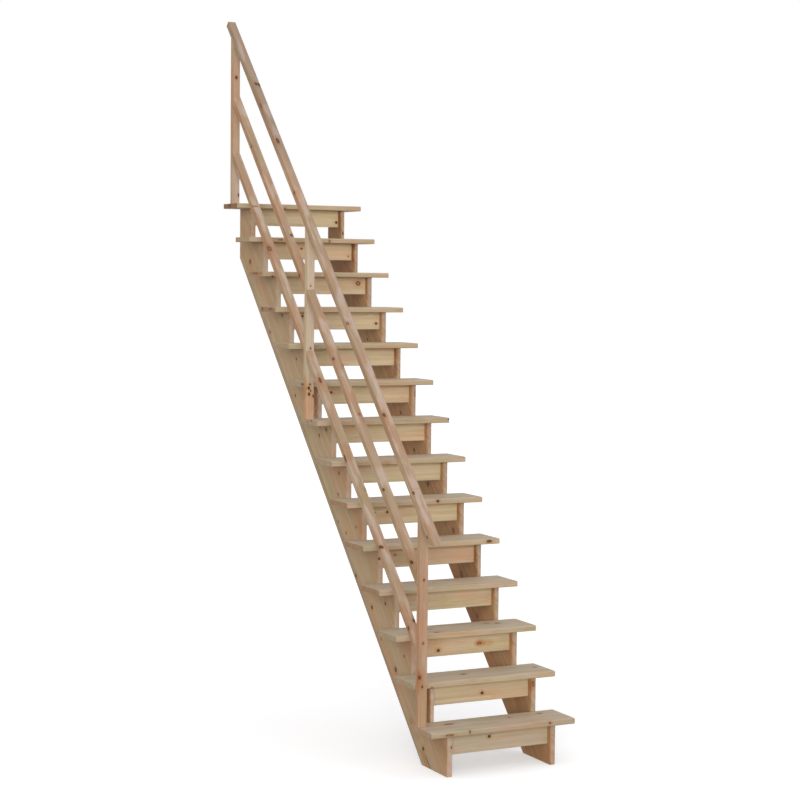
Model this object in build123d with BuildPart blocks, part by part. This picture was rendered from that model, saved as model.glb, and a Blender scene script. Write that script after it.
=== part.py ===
"""Straight open wooden stair of one flight, with a handrail on its left side.

Fourteen treads lie on the level cuts of two sawtooth stringers, and a low riser board hangs
under each tread. Three posts on the treads' left overhang carry two mid rails and a handrail.
Sizes are in millimetres, +Z is up, and the stair climbs towards +Y.
"""

import os
from math import atan2, cos, sin

from build123d import *

os.makedirs("parts", exist_ok=True)

# Flight
storey_height = 2800  # lower floor to the top of the last tread
step_count = 14
going = 191.5  # level distance from one tread's front edge to the next
stair_width = 796  # length of a tread

edge_break = 1.5  # small chamfer on sawn edges

# Treads
tread_thickness = 28
nosing = 23  # how far a tread stands out in front of the upright cut below it
tread_back_gap = 2  # between a tread's back edge and the upright cut behind it
side_overhang = 98  # tread past the outer face of each stringer
tread_upper_round = 7  # roundovers of the front edge
tread_lower_round = 4

# Stringers
stringer_thickness = 28
stringer_body = 187.5  # square to the slope, from a tooth's inner corner to the lower edge
top_cut_back = 196.5  # level distance from the last tread's front edge to the upright top cut

# Riser boards
riser_height = 98
riser_thickness = 20
riser_setback = 29  # behind the upright cuts of the stringers

# Railing
rail_width = 46  # across the stair, for posts, rails and handrail alike
rail_thickness = 30  # of posts and mid rails
handrail_thickness = 36
rail_round = 2
post_steps = (1, 8, 14)  # treads on which the posts stand
post_gaps = (24, 15, 84)  # from a post's back face to where the next tread's front edge would be
handrail_top = 900  # upright height above the line through the treads' front edges
rail_heights = (174, 501)  # underside of each mid rail, upright above the same line
handrail_start = -8  # from the first tread's front edge to the handrail's lower tip
handrail_end = 154  # from the last tread's front edge to the upper end of the handrail's top face

# Sizes that follow
rise = (storey_height - tread_thickness) / step_count
tread_depth = going + nosing - tread_back_gap
slope = atan2(rise, going)
body_back = stringer_body / sin(slope)  # the stringer's body, measured level
rail_upright = rail_thickness / cos(slope)  # a rail's thickness, measured upright
handrail_upright = handrail_thickness / cos(slope)
half_width = stair_width / 2
stringer_outer = half_width - side_overhang
stringer_inner = stringer_outer - stringer_thickness
stringer_middle = (stringer_outer + stringer_inner) / 2
last_front = (step_count - 1) * going
top_cut = last_front + top_cut_back


def tread_top(step):
    """Height of a tread's upper face above the lower floor."""
    return step * rise + tread_thickness


def tread_front(step):
    """Level distance of a tread's front edge from the first one's."""
    return (step - 1) * going


def nosing_line(y):
    """Height of the line through the treads' upper front edges."""
    return tread_top(1) + y * rise / going


def lower_edge(y):
    """Height of the stringers' sloping lower edge."""
    return rise + (y - going - nosing - body_back) * rise / going


foot_back = nosing + body_back  # where the lower edge meets the floor
top_cut_low = lower_edge(top_cut)
top_cut_high = step_count * rise
top_cut_middle = (top_cut_low + top_cut_high) / 2


def side_plane(x):
    """Upright plane x from the stair's middle, seen from its right side.

    Its own axes are the level distance from the first tread's front edge and the height above
    the lower floor. The part's origin is the middle of the left stringer's upright top cut.
    """
    start = (x + stringer_middle, -top_cut, -top_cut_middle)
    return Plane(origin=start, x_dir=(0, 1, 0), z_dir=(1, 0, 0))


def finish(piece, node):
    """Name a finished piece and write it to its own file."""
    piece.part.label = node
    export_step(piece.part, f"parts/{node}.step")


def along_slope(piece):
    """The edges of a piece that run parallel to the flight."""
    return piece.edges().filter_by(Axis((0, 0, 0), (0, going, rise)))


# Stringers: teeth up the front, a level foot, an upright top cut and a straight lower edge
for side, inner_x in (("left", -stringer_outer), ("right", stringer_inner)):
    with BuildPart() as stringer:
        with BuildSketch(side_plane(inner_x)):
            with BuildLine():
                outline = [(foot_back, 0), (nosing, 0)]
                for step in range(1, step_count + 1):
                    outline.append((tread_front(step) + nosing, step * rise))
                    if step < step_count:
                        outline.append((tread_front(step + 1) + nosing, step * rise))
                outline.append((top_cut, top_cut_high))
                outline.append((top_cut, top_cut_low))
                Polyline(*outline, close=True)
            make_face()
        extrude(amount=stringer_thickness)
        chamfer(stringer.faces().filter_by(Axis.X).edges(), edge_break)
    finish(stringer, f"{side}_stringer")

# Treads, with rounded front edges and lightly broken ends
for step in range(1, step_count + 1):
    top = tread_top(step)
    with BuildPart() as tread:
        with BuildSketch(side_plane(-half_width)):
            with Locations((tread_front(step), top)):
                Rectangle(tread_depth, tread_thickness, align=(Align.MIN, Align.MAX))
        extrude(amount=stair_width)
        across = tread.edges().filter_by(Axis.X).group_by(Axis.Y)
        lower_front, upper_front = across[0].sort_by(Axis.Z)
        fillet(lower_front, tread_lower_round)
        fillet(upper_front, tread_upper_round)
        chamfer(across[-1], edge_break)
        chamfer(tread.faces().filter_by(Axis.X).edges(), edge_break)
    finish(tread, f"tread_{step:02d}")

# Riser boards between the stringers, tight under the treads
for step in range(1, step_count + 1):
    board_front = tread_front(step) + nosing + riser_setback
    with BuildPart() as riser:
        with BuildSketch(side_plane(-stringer_inner)):
            with Locations((board_front, step * rise)):
                Rectangle(riser_thickness, riser_height, align=(Align.MIN, Align.MAX))
        extrude(amount=2 * stringer_inner)
        chamfer(riser.edges().filter_by(Axis.X), edge_break)
    finish(riser, f"riser_{step:02d}")

# Posts stand flush with the treads' left ends and are cut to the slope under the handrail
rail_side = side_plane(-half_width)
handrail_low = handrail_top - handrail_upright
post_names = ("lower_post", "middle_post", "upper_post")
post_backs = [tread_front(step + 1) - gap for step, gap in zip(post_steps, post_gaps)]
post_fronts = [back - rail_thickness for back in post_backs]
for node, step, front, back in zip(post_names, post_steps, post_fronts, post_backs):
    with BuildPart() as post:
        with BuildSketch(rail_side):
            with BuildLine():
                Polyline(
                    (front, tread_top(step)),
                    (back, tread_top(step)),
                    (back, nosing_line(back) + handrail_low),
                    (front, nosing_line(front) + handrail_low),
                    close=True,
                )
            make_face()
        extrude(amount=rail_width)
        fillet(post.edges().filter_by(Axis.Z), rail_round)
    finish(post, node)

# Mid rails run from post to post, with upright cuts against the posts
bays = (
    ("lower_bay", post_backs[0], post_fronts[1]),
    ("upper_bay", post_backs[1], post_fronts[2]),
)
for height, level in zip(rail_heights, ("low_rail", "mid_rail")):
    for bay, start, end in bays:
        with BuildPart() as rail:
            with BuildSketch(rail_side):
                with BuildLine():
                    Polyline(
                        (start, nosing_line(start) + height),
                        (end, nosing_line(end) + height),
                        (end, nosing_line(end) + height + rail_upright),
                        (start, nosing_line(start) + height + rail_upright),
                        close=True,
                    )
                make_face()
            extrude(amount=rail_width)
            fillet(along_slope(rail), rail_round)
        finish(rail, f"{level}_{bay}")

# Handrail lies on the posts, cut level at its lower end and square at its upper end
upper_end = last_front + handrail_end
tip_height = nosing_line(handrail_start) + handrail_top
upper_end_height = nosing_line(upper_end) + handrail_top
with BuildPart() as handrail:
    with BuildSketch(rail_side):
        with BuildLine():
            Polyline(
                (handrail_start, tip_height),
                (handrail_start + handrail_upright * going / rise, tip_height),
                (
                    upper_end + handrail_thickness * sin(slope),
                    upper_end_height - handrail_thickness * cos(slope),
                ),
                (upper_end, upper_end_height),
                close=True,
            )
        make_face()
    extrude(amount=rail_width)
    level_end = handrail.faces().sort_by(Axis.Z)[0]
    square_end = handrail.faces().sort_by(Axis.Y)[-1]
    chamfer(level_end.edges() + square_end.edges(), edge_break)
    fillet(along_slope(handrail), rail_round)
finish(handrail, "handrail")
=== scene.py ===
"""Looks of a straight open pine stair: board materials with grain and knots, light and camera."""

import random
from math import atan2, cos, pi, radians, sin

import bpy
from mathutils import Matrix, Vector


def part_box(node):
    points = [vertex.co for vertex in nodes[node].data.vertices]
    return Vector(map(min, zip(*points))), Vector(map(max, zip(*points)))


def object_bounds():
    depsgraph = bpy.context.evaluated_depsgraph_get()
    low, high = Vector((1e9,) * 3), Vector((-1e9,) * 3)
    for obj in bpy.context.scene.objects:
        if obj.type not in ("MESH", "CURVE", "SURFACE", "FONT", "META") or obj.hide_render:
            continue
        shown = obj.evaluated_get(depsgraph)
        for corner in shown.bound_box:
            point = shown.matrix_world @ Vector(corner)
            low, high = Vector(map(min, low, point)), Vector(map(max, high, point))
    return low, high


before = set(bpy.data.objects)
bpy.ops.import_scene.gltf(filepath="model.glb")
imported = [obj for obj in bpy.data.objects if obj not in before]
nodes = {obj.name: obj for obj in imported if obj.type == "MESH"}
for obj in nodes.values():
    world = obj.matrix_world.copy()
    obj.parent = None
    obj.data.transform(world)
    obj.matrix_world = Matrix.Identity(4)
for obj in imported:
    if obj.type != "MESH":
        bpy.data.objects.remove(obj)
cad_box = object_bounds()

STEPS = 14
MM = 0.001

# The stair's slope and level lines, read from the frame
first_low, first_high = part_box("tread_01")
last_low, last_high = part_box(f"tread_{STEPS:02d}")
SLOPE = atan2(last_high.z - first_high.z, last_low.y - first_low.y)
FLOOR_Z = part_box("left_stringer")[0].z
STAIR_MIDDLE = (first_low.x + first_high.x) / 2


class Graph:
    """Short calls for building one node tree."""

    def __init__(self, tree):
        self.tree = tree

    def node(self, kind, inputs=(), **settings):
        """Add a node; inputs maps socket names or numbers to values or other sockets."""
        made = self.tree.nodes.new(kind)
        for name, value in settings.items():
            setattr(made, name, value)
        for name, value in dict(inputs).items():
            self.feed(made.inputs[name], value)
        return made

    def feed(self, socket, value):
        """Link a socket to another one, or set its value."""
        if isinstance(value, bpy.types.NodeSocket):
            self.tree.links.new(value, socket)
        else:
            socket.default_value = value

    def math(self, operation, *values, clamp=False):
        inputs = dict(enumerate(values))
        return self.node("ShaderNodeMath", inputs, operation=operation, use_clamp=clamp).outputs[0]

    def vector(self, operation, *values):
        made = self.node("ShaderNodeVectorMath", dict(enumerate(values)), operation=operation)
        return made.outputs["Value" if operation == "LENGTH" else "Vector"]

    def parts(self, vector):
        """The three numbers of a vector."""
        return self.node("ShaderNodeSeparateXYZ", {0: vector}).outputs

    def noise(self, point, stretch, detail=2.0, roughness=0.5):
        """Noise from 0 to 1, with the point multiplied by stretch first."""
        point = self.vector("MULTIPLY", point, stretch)
        inputs = {"Vector": point, "Scale": 1.0, "Detail": detail, "Roughness": roughness}
        return self.node("ShaderNodeTexNoise", inputs).outputs["Fac"]

    def swing(self, value, size):
        """Turn a value from 0 to 1 into one from -size/2 to size/2."""
        return self.math("MULTIPLY_ADD", value, size, -size / 2)

    def scaled(self, value, low, high, to_low=0.0, to_high=1.0):
        """Map low..high smoothly to to_low..to_high, held at both ends."""
        inputs = {"Value": value, "From Min": low, "From Max": high, "To Min": to_low,
                  "To Max": to_high}
        made = self.node("ShaderNodeMapRange", inputs, interpolation_type="SMOOTHSTEP")
        return made.outputs["Result"]

    def mix(self, factor, first, second, blend="MIX"):
        """Blend two colours, from the first one at factor 0."""
        made = self.node("ShaderNodeMix", data_type="RGBA", blend_type=blend)
        for name, value in (("Factor_Float", factor), ("A_Color", first), ("B_Color", second)):
            socket = next(s for s in made.inputs if s.identifier == name)
            self.feed(socket, value)
        return next(s for s in made.outputs if s.identifier == "Result_Color")

    def tint(self, factor, first, by):
        """Multiply a colour by another one, as far as factor says."""
        return self.mix(factor, first, by, "MULTIPLY")

    def backdrop_ray(self):
        """1 for the camera's own rays and for those through gloss or glass, else 0."""
        path = self.node("ShaderNodeLightPath").outputs
        glossy = self.math("MAXIMUM", path["Is Glossy Ray"], path["Is Transmission Ray"])
        return self.math("MAXIMUM", path["Is Camera Ray"], glossy)


def emptied(owner):
    """A graph on the node tree of a material or world, with nothing left in it."""
    owner.use_nodes = True
    owner.node_tree.nodes.clear()
    return Graph(owner.node_tree)


def new_group(name, inputs, outputs):
    """A node group with the given sockets; inputs and outputs map labels to socket kinds."""
    tree = bpy.data.node_groups.new(name, "ShaderNodeTree")
    for label, kind in inputs.items():
        tree.interface.new_socket(label, in_out="INPUT", socket_type=kind)
    for label, kind in outputs.items():
        tree.interface.new_socket(label, in_out="OUTPUT", socket_type=kind)
    graph = Graph(tree)
    source = graph.node("NodeGroupInput")
    sink = graph.node("NodeGroupOutput")
    return tree, graph, source.outputs, sink.inputs


NUMBER, VECTOR, COLOUR = "NodeSocketFloat", "NodeSocketVector", "NodeSocketColor"

# Distances from a knot or patch count in its own half sizes: 1 is its rim
RING_BEND_FALL = -0.25  # how fast the rings straighten again, by the distance squared
PATCH_START, PATCH_FULL = 1.25, 0.75


def knot_group():
    """One knot more: updates the distance to the nearest one, its redness and the rings' push."""
    tree, g, given, result = new_group(
        "knot",
        {"Point": VECTOR, "Centre": VECTOR, "Per Size": VECTOR, "Size": NUMBER, "Own Red": NUMBER,
         "Nearest": NUMBER, "Push": NUMBER, "Red": NUMBER},
        {"Nearest": NUMBER, "Push": NUMBER, "Red": NUMBER},
    )
    away = g.vector("SUBTRACT", given["Point"], given["Centre"])
    distance = g.vector("LENGTH", g.vector("MULTIPLY", away, given["Per Size"]))
    closer = g.math("LESS_THAN", distance, given["Nearest"])
    redder = g.math("SUBTRACT", given["Own Red"], given["Red"])
    g.feed(result["Red"], g.math("MULTIPLY_ADD", closer, redder, given["Red"]))
    g.feed(result["Nearest"], g.math("MINIMUM", given["Nearest"], distance))
    squared = g.math("MULTIPLY", distance, distance)
    falling = g.math("EXPONENT", g.math("MULTIPLY", squared, RING_BEND_FALL))
    g.feed(result["Push"], g.math("MULTIPLY_ADD", falling, given["Size"], given["Push"]))
    return tree


def patch_group():
    """One patch more: adds its strength, which fades away at its rim."""
    tree, g, given, result = new_group(
        "patch",
        {"Point": VECTOR, "Centre": VECTOR, "Per Size": VECTOR, "Strength": NUMBER, "Sum": NUMBER},
        {"Sum": NUMBER},
    )
    away = g.vector("SUBTRACT", given["Point"], given["Centre"])
    distance = g.vector("LENGTH", g.vector("MULTIPLY", away, given["Per Size"]))
    inside = g.scaled(distance, PATCH_START, PATCH_FULL)
    g.feed(result["Sum"], g.math("MULTIPLY_ADD", inside, given["Strength"], given["Sum"]))
    return tree


def colour(red, green, blue):
    """An opaque colour, in linear light."""
    return (red, green, blue, 1.0)


PLAIN = colour(1.0, 1.0, 1.0)

BOARD_SPACING = 7.3  # how far apart along the noises two boards lie, for each step of the seed

# Growth rings, in metres
RING_WIDTH = 0.0030
TRUNK_TAPER = 0.011  # how far the rings move for each metre along the board
PITH_WANDER = 0.022
RING_RIPPLE = 0.0016
BANDS_PER_METRE = 62.0  # groups of darker and paler rings
LATE_START, LATE_FULL = 0.30, 0.92  # dark late wood, as a share of a ring

# How much each part darkens the wood, from its light tone at 0 to its dark tone at 1
LATE_WEIGHT, MEAN_TONE = 0.30, 0.27
BANDS_WEIGHT, STREAK_WEIGHT, LINES_WEIGHT, FIBRE_WEIGHT, FADE_WEIGHT = 1.2, 1.0, 1.1, 0.4, 0.5

# Tints that multiply the wood's colour
PINK_DRIFT = colour(1.04, 0.925, 0.86)
GREEN_DRIFT = colour(0.965, 1.0, 0.93)
HEARTWOOD = colour(0.92, 0.70, 0.54)
# Darker wood, and painted shade where the stringers' patches pass strength 1
DARK_WOOD_AND_PAINTED_SHADE = colour(0.62, 0.53, 0.38)
GREY_PATCH = colour(0.74, 0.76, 0.81)
KNOT_HALO = colour(0.86, 0.62, 0.42)
WORN_ARRIS = colour(0.80, 0.77, 0.75)

# Colours that take the wood's place
# Painted sheen: a pale colour for streaks that stand in for the sky's reflection on planed faces
PAINTED_SHEEN_STREAK = colour(0.60, 0.49, 0.42)
DEAD_KNOT = (colour(0.10, 0.040, 0.012), colour(0.045, 0.016, 0.005))
LIVE_KNOT = (colour(0.38, 0.20, 0.105), colour(0.29, 0.13, 0.062))
LIVE_KNOT_RIM = colour(0.135, 0.048, 0.018)


def pine_group():
    """Pine from board space: x along the grain, y across the board, z through it, in metres."""
    tree, g, given, result = new_group(
        "pine",
        {"Point": VECTOR, "Facing": VECTOR, "Half": VECTOR, "Pith": VECTOR, "Seed": NUMBER,
         "Nearest": NUMBER, "Push": NUMBER, "Red": NUMBER, "Patch": NUMBER, "Light": COLOUR,
         "Dark": COLOUR, "Edge Tint": COLOUR, "End Grain And Light Tint": COLOUR, "Painted Sheen": NUMBER},
        {"Color": COLOUR, "Roughness": NUMBER, "Height": NUMBER},
    )
    further = g.math("MULTIPLY", given["Seed"], BOARD_SPACING)
    shift = g.node("ShaderNodeCombineXYZ", {0: further, 1: given["Seed"]})
    point = g.vector("ADD", given["Point"], shift.outputs[0])

    # Growth rings round a wandering pith, in a trunk that tapers
    wander = g.noise(point, (2.2, 9.0, 9.0), detail=2.5)
    ripple = g.noise(point, (16.0, 85.0, 85.0))
    away = g.vector("SUBTRACT", given["Point"], given["Pith"])
    radius = g.vector("LENGTH", g.vector("MULTIPLY", away, (0.0, 1.0, 1.0)))
    radius = g.math("MULTIPLY_ADD", g.parts(given["Point"])[0], TRUNK_TAPER, radius)
    radius = g.math("MULTIPLY_ADD", wander, PITH_WANDER, radius)
    radius = g.math("MULTIPLY_ADD", ripple, RING_RIPPLE, radius)
    radius = g.math("ADD", radius, given["Push"])
    phase = g.math("DIVIDE", radius, RING_WIDTH)
    year = g.node("ShaderNodeTexWhiteNoise", {"W": g.math("FLOOR", phase)}, noise_dimensions="1D")
    within = g.math("FRACT", phase)
    rising = g.scaled(within, LATE_START, LATE_FULL)
    ending = g.scaled(within, LATE_FULL, 1.0, 1.0, 0.0)
    late = g.math("MULTIPLY", rising, ending)
    late = g.math("MULTIPLY", late, g.math("MULTIPLY_ADD", year.outputs["Value"], 0.7, 0.3))
    outward = g.math("MULTIPLY", radius, BANDS_PER_METRE)
    bands = g.node("ShaderNodeTexNoise", {"W": outward, "Scale": 1.0, "Detail": 2.0},
                   noise_dimensions="1D").outputs["Fac"]

    # Long fibres, and slow changes of tone along and across the board
    fibre = g.noise(point, (9.0, 620.0, 620.0), detail=3.0, roughness=0.6)
    lines = g.noise(point, (2.6, 150.0, 150.0), detail=2.0, roughness=0.6)
    streak = g.noise(point, (2.0, 48.0, 48.0), detail=3.0, roughness=0.55)
    drift = g.noise(point, (3.4, 11.0, 11.0))
    fade = g.noise(point, (4.5, 14.0, 14.0), detail=3.0)
    # Where the streaks of painted sheen lie
    sheen_noise = g.noise(point, (5.5, 24.0, 24.0), detail=2.0)

    tone = g.math("MULTIPLY", late, LATE_WEIGHT)
    for part, weight in ((bands, BANDS_WEIGHT), (streak, STREAK_WEIGHT), (lines, LINES_WEIGHT),
                         (fibre, FIBRE_WEIGHT), (fade, FADE_WEIGHT)):
        tone = g.math("ADD", tone, g.swing(part, weight))
    tone = g.math("ADD", tone, MEAN_TONE, clamp=True)
    wood = g.mix(tone, given["Light"], given["Dark"])
    wood = g.tint(g.scaled(drift, 0.48, 0.64), wood, PINK_DRIFT)
    wood = g.tint(g.scaled(drift, 0.36, 0.50, 1.0, 0.0), wood, GREEN_DRIFT)
    # Painted sheen: pale streaks mixed in as the reflection on planed faces, as far as the board's
    # share says
    sheen_mask = g.math("MULTIPLY", g.scaled(sheen_noise, 0.46, 0.66), given["Painted Sheen"])
    wood = g.mix(sheen_mask, wood, PAINTED_SHEEN_STREAK)

    # Board edges and sawn ends are cut another way through the log, and their tints also hold
    # painted light: each facing is coloured for the light that falls on it
    facing = g.parts(g.vector("ABSOLUTE", given["Facing"]))
    wood = g.tint(g.scaled(facing[1], 0.35, 0.85), wood, given["Edge Tint"])
    wood = g.tint(g.scaled(facing[0], 0.30, 0.90), wood, given["End Grain And Light Tint"])

    # Patches: warm heartwood up to strength 1, darker beyond it, and grey where it is negative;
    # past strength 1 the stringers' patches are partly painted shade
    ragged = g.swing(g.noise(point, (9.0, 60.0, 60.0), detail=3.0), 0.9)
    patch = g.math("MULTIPLY", given["Patch"], g.math("ADD", ragged, 1.0))
    wood = g.tint(g.math("MAXIMUM", patch, 0.0, clamp=True), wood, HEARTWOOD)
    wood = g.tint(g.math("SUBTRACT", patch, 1.0, clamp=True), wood, DARK_WOOD_AND_PAINTED_SHADE)
    wood = g.tint(g.math("MULTIPLY", patch, -1.0, clamp=True), wood, GREY_PATCH)

    # Knots: a dark heart with a ring, in a reddish halo that fades into the wood
    edge_noise = g.noise(point, (130.0, 150.0, 150.0))
    near = g.math("ADD", given["Nearest"], g.swing(edge_noise, 0.6))
    wood = g.tint(g.scaled(near, 0.7, 3.0, 0.60, 0.0), wood, KNOT_HALO)
    rings = g.math("MULTIPLY_ADD", g.math("SINE", g.math("MULTIPLY", near, 17.0)), 0.3, 0.35)
    dead = g.mix(rings, *DEAD_KNOT)
    live = g.mix(rings, *LIVE_KNOT)
    live = g.mix(g.scaled(near, 0.42, 0.72), live, LIVE_KNOT_RIM)
    heart = g.mix(given["Red"], dead, live)
    wood = g.mix(g.scaled(near, 0.78, 1.12, 1.0, 0.0), wood, heart)

    # Arrises: slightly bruised and dirty within a few millimetres of the board's edges
    inner = g.parts(g.vector("SUBTRACT", given["Half"], g.vector("ABSOLUTE", given["Point"])))
    lesser, greater = (g.math(kind, inner[0], inner[1]) for kind in ("MINIMUM", "MAXIMUM"))
    to_edge = g.math("MAXIMUM", lesser, g.math("MINIMUM", greater, inner[2]))
    handled = g.noise(point, (14.0, 30.0, 30.0), detail=4.0, roughness=0.65)
    at_edge = g.scaled(to_edge, 0.0012, 0.0050, 1.0, 0.0)
    worn = g.math("MULTIPLY", at_edge, g.scaled(handled, 0.35, 0.65))
    wood = g.tint(g.math("MULTIPLY", worn, 0.6), wood, WORN_ARRIS)

    g.feed(result["Color"], wood)
    rough = g.math("MULTIPLY_ADD", fibre, 0.16, 0.56)
    rough = g.math("SUBTRACT", rough, g.math("MULTIPLY", late, 0.08))
    g.feed(result["Roughness"], g.math("SUBTRACT", rough, g.math("MULTIPLY", worn, 0.06)))
    height = g.math("MULTIPLY_ADD", late, 0.6, g.math("MULTIPLY", fibre, 0.7))
    g.feed(result["Height"], g.math("SUBTRACT", height, g.math("MULTIPLY", worn, 0.5)))
    return tree


KNOT = knot_group()
PATCH = patch_group()
PINE = pine_group()


def board_axes(kind):
    """Rotation whose x runs along the grain, y across the board and z through it."""
    along_slope = Vector((0.0, cos(SLOPE), sin(SLOPE)))
    up_slope = Vector((0.0, -sin(SLOPE), cos(SLOPE)))
    sideways = Vector((1.0, 0.0, 0.0))
    level = Vector((0.0, 1.0, 0.0))
    upright = Vector((0.0, 0.0, 1.0))
    triples = {
        "tread": (sideways, level, upright),
        "riser": (sideways, upright, -level),
        "stringer": (along_slope, up_slope, sideways),
        "rail": (along_slope, -sideways, up_slope),
        "post": (upright, sideways, level),
    }
    return Matrix(triples[kind]).transposed()


# Light and dark wood of each tone of board
TONES = {
    "yellow": (colour(0.66, 0.53, 0.355), colour(0.48, 0.35, 0.205)),
    "straw": (colour(0.60, 0.475, 0.315), colour(0.43, 0.31, 0.175)),
    "grey": (colour(0.54, 0.45, 0.33), colour(0.40, 0.30, 0.19)),
    "peach": (colour(0.60, 0.44, 0.29), colour(0.43, 0.28, 0.165)),
    "pink": (colour(0.51, 0.35, 0.245), colour(0.36, 0.22, 0.135)),
    "rose": (colour(0.445, 0.313, 0.212), colour(0.313, 0.198, 0.116)),
    "brown": (colour(0.53, 0.39, 0.24), colour(0.38, 0.255, 0.14)),
    # The right stringer's tone: darker wood, and partly painted shade for its inner face
    "dark": (colour(0.56, 0.42, 0.255), colour(0.32, 0.20, 0.105)),
    "dusty": (colour(0.52, 0.40, 0.31), colour(0.385, 0.275, 0.195)),
    "cream": (colour(0.60, 0.49, 0.38), colour(0.45, 0.34, 0.23)),
}
TONE_OF_KIND = {"tread": "grey", "riser": "yellow", "stringer": "brown", "post": "pink",
                "rail": "rose"}
TONE_OF_BOARD = {"riser_01": "grey", "riser_02": "straw", "riser_03": "straw", "riser_04": "straw",
                 "riser_05": "peach", "middle_post": "cream", "upper_post": "dusty",
                 "right_stringer": "dark"}

# Tints of the edges and of the sawn ends, partly the grain's own colour and partly painted light
# per facing, and how far a board has pale streaks of painted sheen
EDGE_GRAIN_AND_LIGHT_TINT = {"tread": colour(0.96, 0.91, 0.83), "riser": PLAIN, "stringer": colour(1.0, 0.90, 0.78),
             "rail": colour(1.04, 1.0, 0.87), "post": colour(1.02, 0.93, 0.78)}
END_GRAIN_AND_LIGHT_TINT = {"tread": colour(0.82, 0.76, 0.69), "riser": PLAIN, "stringer": colour(1.03, 1.22, 1.86),
            "rail": colour(0.93, 0.90, 0.86), "post": colour(0.93, 0.90, 0.86)}
BROWN_END = colour(0.69, 0.52, 0.38)
END_GRAIN_AND_LIGHT_TINT_OF_BOARD = {"tread_04": BROWN_END, "tread_05": BROWN_END, "tread_06": BROWN_END,
                     "tread_11": BROWN_END, "tread_12": colour(0.80, 0.66, 0.55),
                     "tread_14": colour(0.47, 0.32, 0.21),
                     "right_stringer": colour(0.83, 0.99, 1.50)}
PAINTED_SHEEN_SHARE = {"tread": 0.35, "riser": 0.15, "stringer": 0.12, "rail": 0.5, "post": 0.3}

# Knots are given by their place from the board's middle and their half sizes, in millimetres
# along, across and through it, and by their redness: 0 is a dead dark knot and 1 a live red one
ALONG_GRAIN, ALONG_BAR = 1.2, 1.3  # how much longer than wide a knot is
THROUGH_BOARD = 80.0
TREAD_FRONT, RISER_TOP, RISER_FRONT = -106.0, 49.0, 10.0


def through(along, across, size, red=0.0):
    """A knot straight through a board."""
    return (along, across, 0.0), (ALONG_GRAIN * size, size, THROUGH_BOARD), red


def in_front(along, up, size, red=0.0):
    """A knot in the front edge of a tread."""
    return (along, TREAD_FRONT, up), (ALONG_GRAIN * size, 16.0, size), red


def on_bar(along, across, up, size, red=0.0):
    """A knot at the surface of a post or rail."""
    return (along, across, up), (ALONG_BAR * size, size, size), red


def painted_joint_shadow(width):
    """A painted contact shadow along the top of a riser, where the tread above meets it, longer
    than the board itself.
    """
    return (0.0, RISER_TOP, RISER_FRONT), (600.0, width, 8.0), 0.0


def spot(place, half_sizes, red=0.0):
    """A knot, streak or resin mark of any proportions."""
    return place, half_sizes, red


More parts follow.
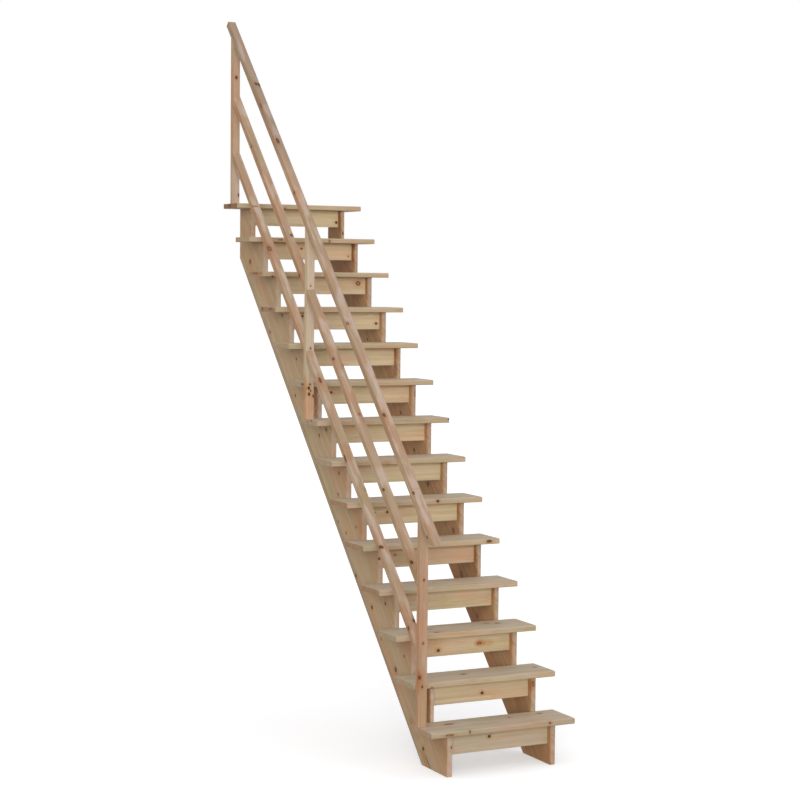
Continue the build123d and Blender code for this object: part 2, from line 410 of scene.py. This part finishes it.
KNOTS = {
    # The first three risers carry a painted contact shadow along their tops
    "riser_01": [through(-55, 20, 8), painted_joint_shadow(2.6)],
    "riser_02": [through(10, -10, 8), painted_joint_shadow(0.9)],
    "riser_03": [through(-135, -20, 8), spot((98, 0, 10), (12, 6, 14), 1), painted_joint_shadow(0.5)],
    "riser_05": [through(-190, 15, 5, 1)],
    "riser_06": [through(-140, 15, 7), through(-215, 15, 5)],
    "riser_09": [through(-205, 15, 7)],
    "riser_11": [through(250, -15, 7), through(-210, 25, 6)],
    "riser_12": [through(225, 15, 14, 1)],
    "riser_13": [through(-50, 15, 6, 0.5), through(250, -25, 4, 0.6)],
    "riser_14": [through(260, -20, 8)],
    "tread_01": [spot((-230, 35, 14), (26, 12, 10), 0.8), through(110, 40, 6, 0.8),
                 spot((290, 55, 14), (14, 8, 8), 0.4), spot((-300, -106, -3), (22, 14, 5), 0.8),
                 spot((-190, -106, 3), (4, 14, 9), 0.2), in_front(255, 3, 6, 0.5)],
    "tread_02": [spot((-60, 10, 14), (17, 9, 10)), spot((350, 10, 14), (12, 7, 8), 0.4),
                 spot((-297, -106, -11), (5, 10, 4))],
    "tread_03": [spot((-155, -75, 14), (18, 7, 6)), spot((-150, 15, 14), (20, 6, 6), 0.3),
                 spot((195, 45, 14), (20, 6, 6), 0.3), through(245, 25, 12, 1)],
    "tread_05": [spot((335, -106, 2), (17, 16, 8), 0.2)],
    "tread_06": [in_front(130, 3, 8)],
    "tread_08": [spot((-395, -30, 12), (8, 8, 6)), spot((-398, 20, 0), (8, 5, 4)),
                 spot((395, -104, 8), (5, 6, 6))],
    "tread_09": [spot((-398, -100, 2), (9, 10, 6), 0.2)],
    "tread_11": [spot((-398, 80, 3), (6, 16, 8), 0.6), spot((-398, -35, 3), (6, 20, 7), 0.6)],
    "tread_12": [spot((-398, -5, 3), (6, 40, 5), 0.7), spot((-335, -106, -12), (5, 14, 4))],
    "tread_13": [spot((105, -106, -4), (6, 14, 9), 0.8), spot((-205, -106, 0), (14, 14, 5), 1)],
    "tread_14": [spot((-398, 10, 3), (8, 15, 8)), spot((-95, -106, -8), (5, 14, 4), 0.5)],
    "left_stringer": [through(-1238, -115, 12, 0.2), through(-1690, -125, 10),
                      through(1587, -93, 13, 0.15), through(-925, 12, 8), through(-850, -127, 10),
                      through(-618, -172, 9), through(-380, -117, 6), through(-170, -55, 7),
                      through(-93, 28, 8), through(-275, -155, 5), through(-432, 3, 6, 0.4),
                      through(1085, -153, 9), through(585, -130, 8), through(722, 22, 6),
                      through(1038, 40, 8, 0.3), through(180, 60, 9), through(215, -30, 8, 0.3),
                      through(-1030, -150, 5, 0.8), through(-1240, 10, 6, 0.2),
                      through(1295, 85, 6),
                      spot((-1768, -128, -14), (62, 3, 5)), spot((-710, 102, -8), (7, 7, 7)),
                      spot((-1820, 95, 8), (7, 7, 4))],
    "right_stringer": [through(-695, -110, 15, 0.5), through(-105, -85, 12, 0.3),
                       through(137, -88, 11, 0.2), through(398, -75, 10, 0.3),
                       through(-957, -115, 13, 0.6), through(-470, -25, 14, 0.6),
                       through(990, -115, 7, 0.2), spot((-1530, 110, -3), (15, 15, 9), 1),
                       spot((390, 100, 12), (24, 24, 5), 0.4), spot((1705, 40, 4), (8, 8, 5)),
                       spot((1520, 115, -9), (14, 14, 6), 0.8)],
    "lower_post": [on_bar(-269, -19, -15, 8, 0.08), on_bar(-315, -3, -15, 5),
                   on_bar(-105, 0, -15, 5, 0.4), on_bar(200, 0, -15, 5)],
    "middle_post": [on_bar(-348, -7, -15, 8), on_bar(-380, -5, -15, 8), on_bar(-328, 0, -15, 5),
                    on_bar(-362, 4, -15, 5), on_bar(-390, 21, -15, 7), on_bar(200, 0, -15, 4, 0.5),
                    on_bar(-135, 2, -15, 5, 0.4)],
    "upper_post": [on_bar(250, 0, -15, 8), on_bar(-430, 20, -15, 8)],
    "handrail": [spot((1353, 1, 11), (12, 9, 8)), spot((1346, -15, 11), (16, 7, 8)),
                 spot((878, 6, 11), (22, 10, 8), 0.2), spot((1170, 24, 7), (26, 3, 6)),
                 on_bar(475, 24, 0, 8, 0.2),
                 on_bar(-495, 18, 12, 9, 0.9), on_bar(-1108, 15, 12, 10, 0.25),
                 spot((-1595, 23, 8), (10, 7, 8), 0.1), spot((-1572, 2, 18), (3, 18, 6), 1),
                 on_bar(-1840, 24, -20, 7)],
    "mid_rail_lower_bay": [on_bar(-840, 18, 14, 9), on_bar(-395, 20, 14, 7, 0.2),
                           on_bar(470, 22, 12, 7), on_bar(90, -5, 15, 6, 0.9)],
    "mid_rail_upper_bay": [on_bar(345, 23, 5, 7), on_bar(-660, 23, -5, 9),
                           on_bar(-372, -10, 15, 8)],
    "low_rail_lower_bay": [spot((230, 25, 4), (30, 7, 8)), on_bar(-825, 23, 5, 8),
                           on_bar(-790, -15, 14, 7), spot((-345, 12, 13), (12, 14, 9), 0.2),
                           spot((755, 7, 14), (22, 8, 8), 0.3)],
    "low_rail_upper_bay": [spot((322, 10, 15), (4, 20, 6), 0.9),
                           spot((-15, 15, 14), (20, 12, 12), 0.75)],
}

# Patches of another tone: place from the board's middle, half sizes in millimetres, and strength,
# where up to 1 is warm, above 1 is darker and below 0 is grey
PATCHES = {
    "riser_03": [((100, 0, 0), (36, 24, 20), 0.95), ((98, 0, 0), (17, 10, 20), 0.95),
                 ((150, -3, 0), (34, 20, 20), 0.7), ((-150, 12, 0), (90, 30, 20), 0.3)],
    "upper_post": [((95, 0, 0), (350, 60, 60), 0.42), ((20, 0, 0), (290, 60, 60), 0.2)],
    "middle_post": [((-520, 0, 0), (232, 60, 60), 0.6), ((-340, -23, 0), (60, 6, 20), 0.7)],
    "lower_post": [((-290, -24, -15), (60, 22, 20), 0.7), ((-150, 0, 0), (420, 60, 60), 0.32)],
    "left_stringer": [((-1650, -165, -14), (420, 40, 40), 0.2),
                      ((0, -190, -14), (2600, 32, 10), -0.75),
                      ((-1700, 60, -14), (190, 80, 10), 0.35),
                      ((1700, -90, -14), (210, 100, 10), 0.45),
                      ((-1000, 62, -15), (1000, 66, 8), 0.35),
                      ((-1735, -158, -14), (60, 26, 10), 0.8),
                      ((-1525, -150, -14), (26, 20, 10), 0.8),
                      ((1710, 45, 0), (45, 45, 20), 0.6), ((-500, 40, 0), (80, 70, 20), 0.5),
                      # Painted shade: two rows of four dark patches on the outer face, just beside
                      # the middle post and the lower post, where the posts shade the stringer
                      ((425, 100, -14), (27, 27, 10), 1.6), ((390, 70, -14), (27, 27, 10), 1.6),
                      ((355, 42, -14), (27, 27, 10), 1.4), ((322, 12, -14), (27, 27, 10), 1.4),
                      ((-1515, 110, -14), (27, 27, 10), 1.7), ((-1550, 76, -14), (27, 27, 10), 1.7),
                      ((-1584, 42, -14), (27, 27, 10), 1.7), ((-1616, 12, -14), (27, 27, 10), 1.7)],
    # Painted shade, partly: the first four patches darken the inner face under the treads and
    # behind the risers, on top of the darker wood
    "right_stringer": [((0, -40, -14), (2400, 260, 10), 0.95),
                       ((1560, -40, -14), (360, 260, 10), 0.9),
                       ((1720, -40, -14), (220, 260, 10), 0.7),
                       ((-815, -60, -14), (180, 260, 10), 0.8),
                       ((685, 115, -8), (44, 44, 8), 0.7),
                       ((610, 45, -12), (36, 36, 8), 0.7), ((-1550, -40, -14), (90, 60, 10), 0.5),
                       ((1680, 90, 0), (120, 60, 20), 0.4)],
    "low_rail_lower_bay": [((-790, 0, 0), (110, 60, 60), 0.5), ((262, 8, 15), (60, 40, 40), 0.5),
                           ((715, 0, 15), (50, 40, 20), 0.4)],
    "mid_rail_lower_bay": [((-850, 10, 0), (90, 60, 60), 0.5), ((475, 10, 10), (95, 60, 60), 0.45)],
    # Painted light, partly: the upper bay rails' left faces are made warmer and the handrail's top
    # face greyer, as the light falls on them, besides the wood's own tone
    "mid_rail_upper_bay": [((-610, 10, 0), (90, 60, 60), 0.4), ((0, 26, 0), (2000, 8, 40), 0.55)],
    "low_rail_upper_bay": [((0, 26, 0), (2000, 8, 40), 0.45)],
    "handrail": [((-1105, 10, 0), (90, 60, 60), 0.4), ((475, 20, 0), (70, 60, 60), 0.3),
                 ((0, 0, 18), (3000, 100, 10), -0.2), ((1450, 0, 0), (700, 100, 100), -0.65),
                 ((500, -22, 18), (1500, 9, 14), -0.5)],
    "tread_01": [((0, -106, 0), (600, 8, 20), -0.5)],
    "tread_12": [((-398, -20, 0), (14, 90, 20), 0.5)],
}

# A face of each kind of board that the front view hides, as axis and side, with the number of its
# spare knots and their smallest and largest radius in millimetres
HIDDEN_FACES = {"tread": (2, -1), "riser": (2, -1), "stringer": (2, 1), "rail": (1, -1),
                "post": (2, 1)}
SPARE_KNOTS = {"tread": 3, "riser": 2, "stringer": 12, "rail": 4, "post": 3}
SPARE_SIZES = {"tread": (6.0, 14.0), "riser": (5.0, 10.0), "stringer": (6.0, 14.0),
               "rail": (5.0, 10.0), "post": (5.0, 10.0)}


def spare_knots(kind, half, dice):
    """A few knots just under the face of a board that the front view hides."""
    axis, side = HIDDEN_FACES[kind]
    made = []
    for _ in range(SPARE_KNOTS[kind]):
        size = dice.uniform(*SPARE_SIZES[kind])
        place = [dice.uniform(-0.9, 0.9) * reach / MM for reach in half]
        place[axis] = side * half[axis] / MM
        half_sizes = [ALONG_GRAIN * size, size, size]
        half_sizes[axis] = min(size, half[axis] / MM)
        made.append((place, half_sizes, dice.choice((0.0, 0.3, 0.9))))
    return made


# Half the thickness of the bars, which the frame's boxes don't give for a sloping piece
BAR_HALF, HANDRAIL_HALF = 15 * MM, 18 * MM
# Past a stringer's real edges, because wear along a plain box doesn't fit its toothed outline
STRINGER_REACH = 0.25


def half_sizes_of(name, kind, axes, size):
    """Half a board's size along its own axes, in metres."""
    half = Vector([max(abs(s * a) for s, a in zip(size, axis)) / 2 for axis in axes.transposed()])
    if kind in ("stringer", "rail"):
        half.x = Vector((size.y, size.z)).length / 2
    if kind == "rail":
        half.z = HANDRAIL_HALF if name == "handrail" else BAR_HALF
    if kind == "stringer":
        half.y = STRINGER_REACH
    return half


def pith_of(order):
    """Where a board's pith runs: up to 44 mm beside its middle and 30 to 66 mm behind it."""
    beside = 11.0 * ((order * 7) % 9 - 4)
    behind = 30.0 + 6.0 * ((order * 5) % 7)
    return Vector((0.0, beside, -behind)) * MM


def seat(place, half_sizes):
    """Where a knot or patch sits, as its group wants it."""
    return {"Centre": Vector(place) * MM, "Per Size": [1 / (one * MM) for one in half_sizes]}


NO_KNOT = 99.0  # a distance at which a knot doesn't show
GRAIN_DEPTH = 0.0004


def board_material(name, kind, order):
    """One board's pine, with its own place in the grain, tone, knots and patches."""
    material = bpy.data.materials.new(name)
    g = emptied(material)
    low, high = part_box(name)
    axes = board_axes(kind)
    turn = axes.to_euler()
    source = g.node("ShaderNodeTexCoord").outputs
    board = g.node("ShaderNodeMapping", {"Vector": source["Object"], "Location": (low + high) / 2,
                                         "Rotation": turn}, vector_type="TEXTURE").outputs[0]
    facing = g.node("ShaderNodeMapping", {"Vector": source["Normal"], "Rotation": turn},
                    vector_type="TEXTURE").outputs[0]
    half = half_sizes_of(name, kind, axes, high - low)

    dice = random.Random(order)
    nearest, push, red, patch = NO_KNOT, 0.0, 0.0, 0.0
    for place, half_sizes, own_red in KNOTS.get(name, []) + spare_knots(kind, half, dice):
        made = g.node("ShaderNodeGroup", {
            "Point": board, **seat(place, half_sizes), "Size": min(half_sizes) * MM,
            "Own Red": own_red, "Nearest": nearest, "Push": push, "Red": red}, node_tree=KNOT)
        nearest, push, red = (made.outputs[label] for label in ("Nearest", "Push", "Red"))
    for place, half_sizes, strength in PATCHES.get(name, []):
        made = g.node("ShaderNodeGroup", {
            "Point": board, **seat(place, half_sizes), "Strength": strength, "Sum": patch},
            node_tree=PATCH)
        patch = made.outputs["Sum"]

    light, dark = TONES[TONE_OF_BOARD.get(name, TONE_OF_KIND[kind])]
    pine = g.node("ShaderNodeGroup", {
        "Point": board, "Facing": facing, "Half": half, "Pith": pith_of(order),
        "Seed": 1.0 + 1.37 * order, "Nearest": nearest, "Push": push, "Red": red, "Patch": patch,
        "Light": light, "Dark": dark, "Edge Tint": EDGE_GRAIN_AND_LIGHT_TINT[kind],
        "End Grain And Light Tint": END_GRAIN_AND_LIGHT_TINT_OF_BOARD.get(name, END_GRAIN_AND_LIGHT_TINT[kind]), "Painted Sheen": PAINTED_SHEEN_SHARE[kind]},
        node_tree=PINE)
    bump = g.node("ShaderNodeBump", {"Strength": 0.5, "Distance": GRAIN_DEPTH,
                                     "Height": pine.outputs["Height"]})
    shader = g.node("ShaderNodeBsdfPrincipled", {
        "Base Color": pine.outputs["Color"], "Roughness": pine.outputs["Roughness"],
        "Specular IOR Level": 0.35, "Normal": bump.outputs[0]})
    g.node("ShaderNodeOutputMaterial", {"Surface": shader.outputs[0]})
    return material


def kind_of(name):
    """The kind of board that a node is: what isn't named after its kind is a rail."""
    for kind in ("tread", "riser", "stringer", "post"):
        if kind in name:
            return kind
    return "rail"


for order, name in enumerate(sorted(nodes)):
    mesh = nodes[name].data
    mesh.materials.clear()
    mesh.materials.append(board_material(name, kind_of(name), order))

FLOOR_REACH = 60.0
FLOOR_PAINT = colour(0.38, 0.33, 0.275)  # what it throws back on the wood
FLOOR_SEEN = colour(0.78, 0.78, 0.78)
FLOOR_GLOW = 0.45  # brings the seen floor to white outside the shadow


def add_floor():
    """A pale level floor with the object's soft shadow on it, clear when seen from below."""
    middle_y = (cad_box[0].y + cad_box[1].y) / 2
    corners = [(STAIR_MIDDLE + x * FLOOR_REACH, middle_y + y * FLOOR_REACH, FLOOR_Z)
               for x, y in ((-1, -1), (1, -1), (1, 1), (-1, 1))]
    mesh = bpy.data.meshes.new("floor")
    mesh.from_pydata(corners, [], [(0, 1, 2, 3)])
    floor = bpy.data.objects.new("floor", mesh)
    bpy.context.scene.collection.objects.link(floor)
    material = bpy.data.materials.new("floor")
    g = emptied(material)
    seen = g.backdrop_ray()
    matte = g.node("ShaderNodeBsdfDiffuse", {"Color": g.mix(seen, FLOOR_PAINT, FLOOR_SEEN)})
    strength = g.math("MULTIPLY", seen, FLOOR_GLOW)
    glow = g.node("ShaderNodeEmission", {"Color": PLAIN, "Strength": strength})
    both = g.node("ShaderNodeAddShader", {0: matte.outputs[0], 1: glow.outputs[0]})
    below = g.node("ShaderNodeNewGeometry").outputs["Backfacing"]
    clear = g.node("ShaderNodeBsdfTransparent")
    surface = g.node("ShaderNodeMixShader", {0: below, 1: both.outputs[0], 2: clear.outputs[0]})
    g.node("ShaderNodeOutputMaterial", {"Surface": surface.outputs[0]})
    mesh.materials.append(material)


LEVEL_SKY, UPPER_SKY = colour(0.55, 0.49, 0.42), colour(0.86, 0.89, 0.94)
BEHIND_STAIR = colour(0.74, 0.72, 0.70)  # tint of the light from behind
LAMP_WHITE = 0.58  # how bright the lamp alone makes a white face turned to it


def add_light():
    """Soft light from all round, stronger from the front and above, and one soft lamp in front."""
    world = bpy.data.worlds.new("studio")
    bpy.context.scene.world = world
    g = emptied(world)
    heading = g.parts(g.node("ShaderNodeTexCoord").outputs["Generated"])
    sky = g.mix(g.scaled(heading[2], 0.0, 0.85), LEVEL_SKY, UPPER_SKY)
    sky = g.tint(g.scaled(heading[1], -0.2, 0.8), sky, BEHIND_STAIR)
    shown = g.mix(g.backdrop_ray(), sky, PLAIN)
    back = g.node("ShaderNodeBackground", {"Color": shown, "Strength": 1.0})
    g.node("ShaderNodeOutputWorld", {"Surface": back.outputs[0]})
    lamp = bpy.data.lights.new("key", "SUN")
    lamp.energy = LAMP_WHITE * pi
    lamp.color = (1.0, 0.99, 0.97)
    lamp.angle = radians(30.0)
    key = bpy.data.objects.new("key", lamp)
    towards_light = Vector((-0.45, -0.87, 0.17))
    key.rotation_euler = towards_light.to_track_quat("Z", "Y").to_euler()
    bpy.context.scene.collection.objects.link(key)


def add_camera():
    """The photograph's camera: place and angles from matching the stair's corners at 800 by 800."""
    place = Vector((-4.265809, -10.563459, -0.264048))
    yaw, pitch, roll = 0.466808, -0.062734, 0.010017
    focal_pixels, frame_pixels = 1910.141, 800.0
    forward = Vector((sin(yaw) * cos(pitch), cos(yaw) * cos(pitch), sin(pitch)))
    level_right = Vector((cos(yaw), -sin(yaw), 0.0))
    level_up = level_right.cross(forward)
    right = level_right * cos(roll) + level_up * sin(roll)
    up = -level_right * sin(roll) + level_up * cos(roll)
    data = bpy.data.cameras.new("camera")
    data.sensor_width = 36.0
    data.lens = focal_pixels / frame_pixels * data.sensor_width
    camera = bpy.data.objects.new("camera", data)
    turn = Matrix((right, up, -forward)).transposed().to_4x4()
    camera.matrix_world = Matrix.Translation(place) @ turn
    bpy.context.scene.collection.objects.link(camera)
    bpy.context.scene.camera = camera


add_floor()
add_light()
add_camera()
bpy.context.scene.view_settings.view_transform = "Standard"
